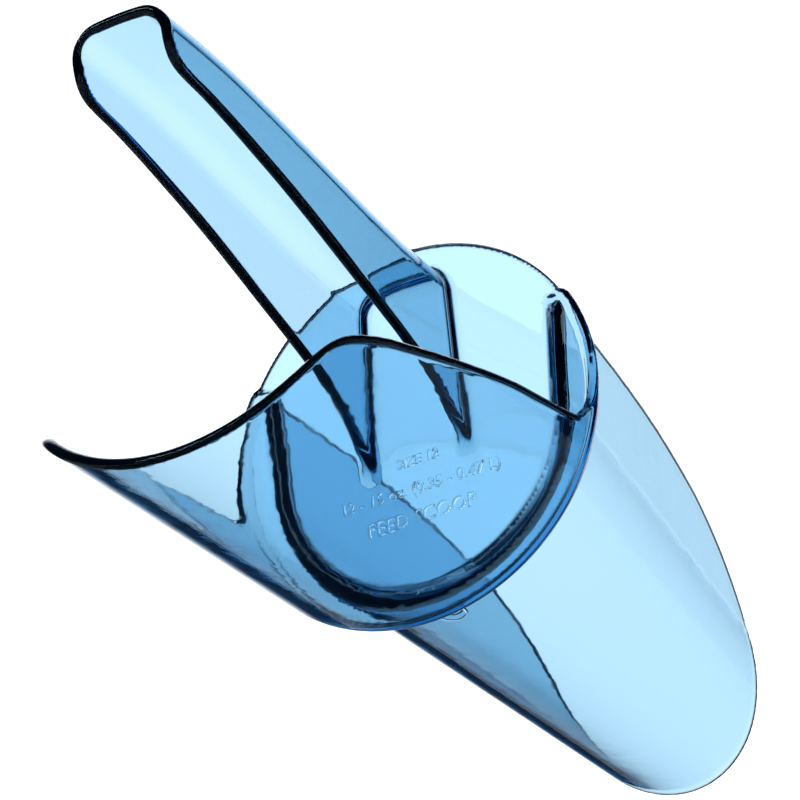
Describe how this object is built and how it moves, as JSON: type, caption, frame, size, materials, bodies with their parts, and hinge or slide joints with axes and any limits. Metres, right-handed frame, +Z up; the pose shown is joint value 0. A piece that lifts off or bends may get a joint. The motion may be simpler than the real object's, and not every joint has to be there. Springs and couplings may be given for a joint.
{
  "type": "feed scoop",
  "caption": "One-piece moulded clear blue scoop with a deep round-nosed bowl, an open channel handle and a half-round guard under the hand.",
  "frame": {"origin": "on the surface the scoop lies on, under the middle of its length and width", "axes": "+Y from the handle to the nose, +Z up, +X to the right looking along +Y"},
  "size_m": [0.1022, 0.258, 0.1065],
  "materials": {
    "clear_blue_plastic": "clear polished"
  },
  "bodies": {
    "root": {"bowl": "clear_blue_plastic", "back_wall": "clear_blue_plastic", "hand_guard": "clear_blue_plastic", "handle_web": "clear_blue_plastic", "handle_wall_left": "clear_blue_plastic", "handle_wall_right": "clear_blue_plastic", "handle_root_left": "clear_blue_plastic", "handle_root_right": "clear_blue_plastic", "capacity_mark": "clear_blue_plastic", "gate_mark": "clear_blue_plastic"}
  },
  "joints": []
}
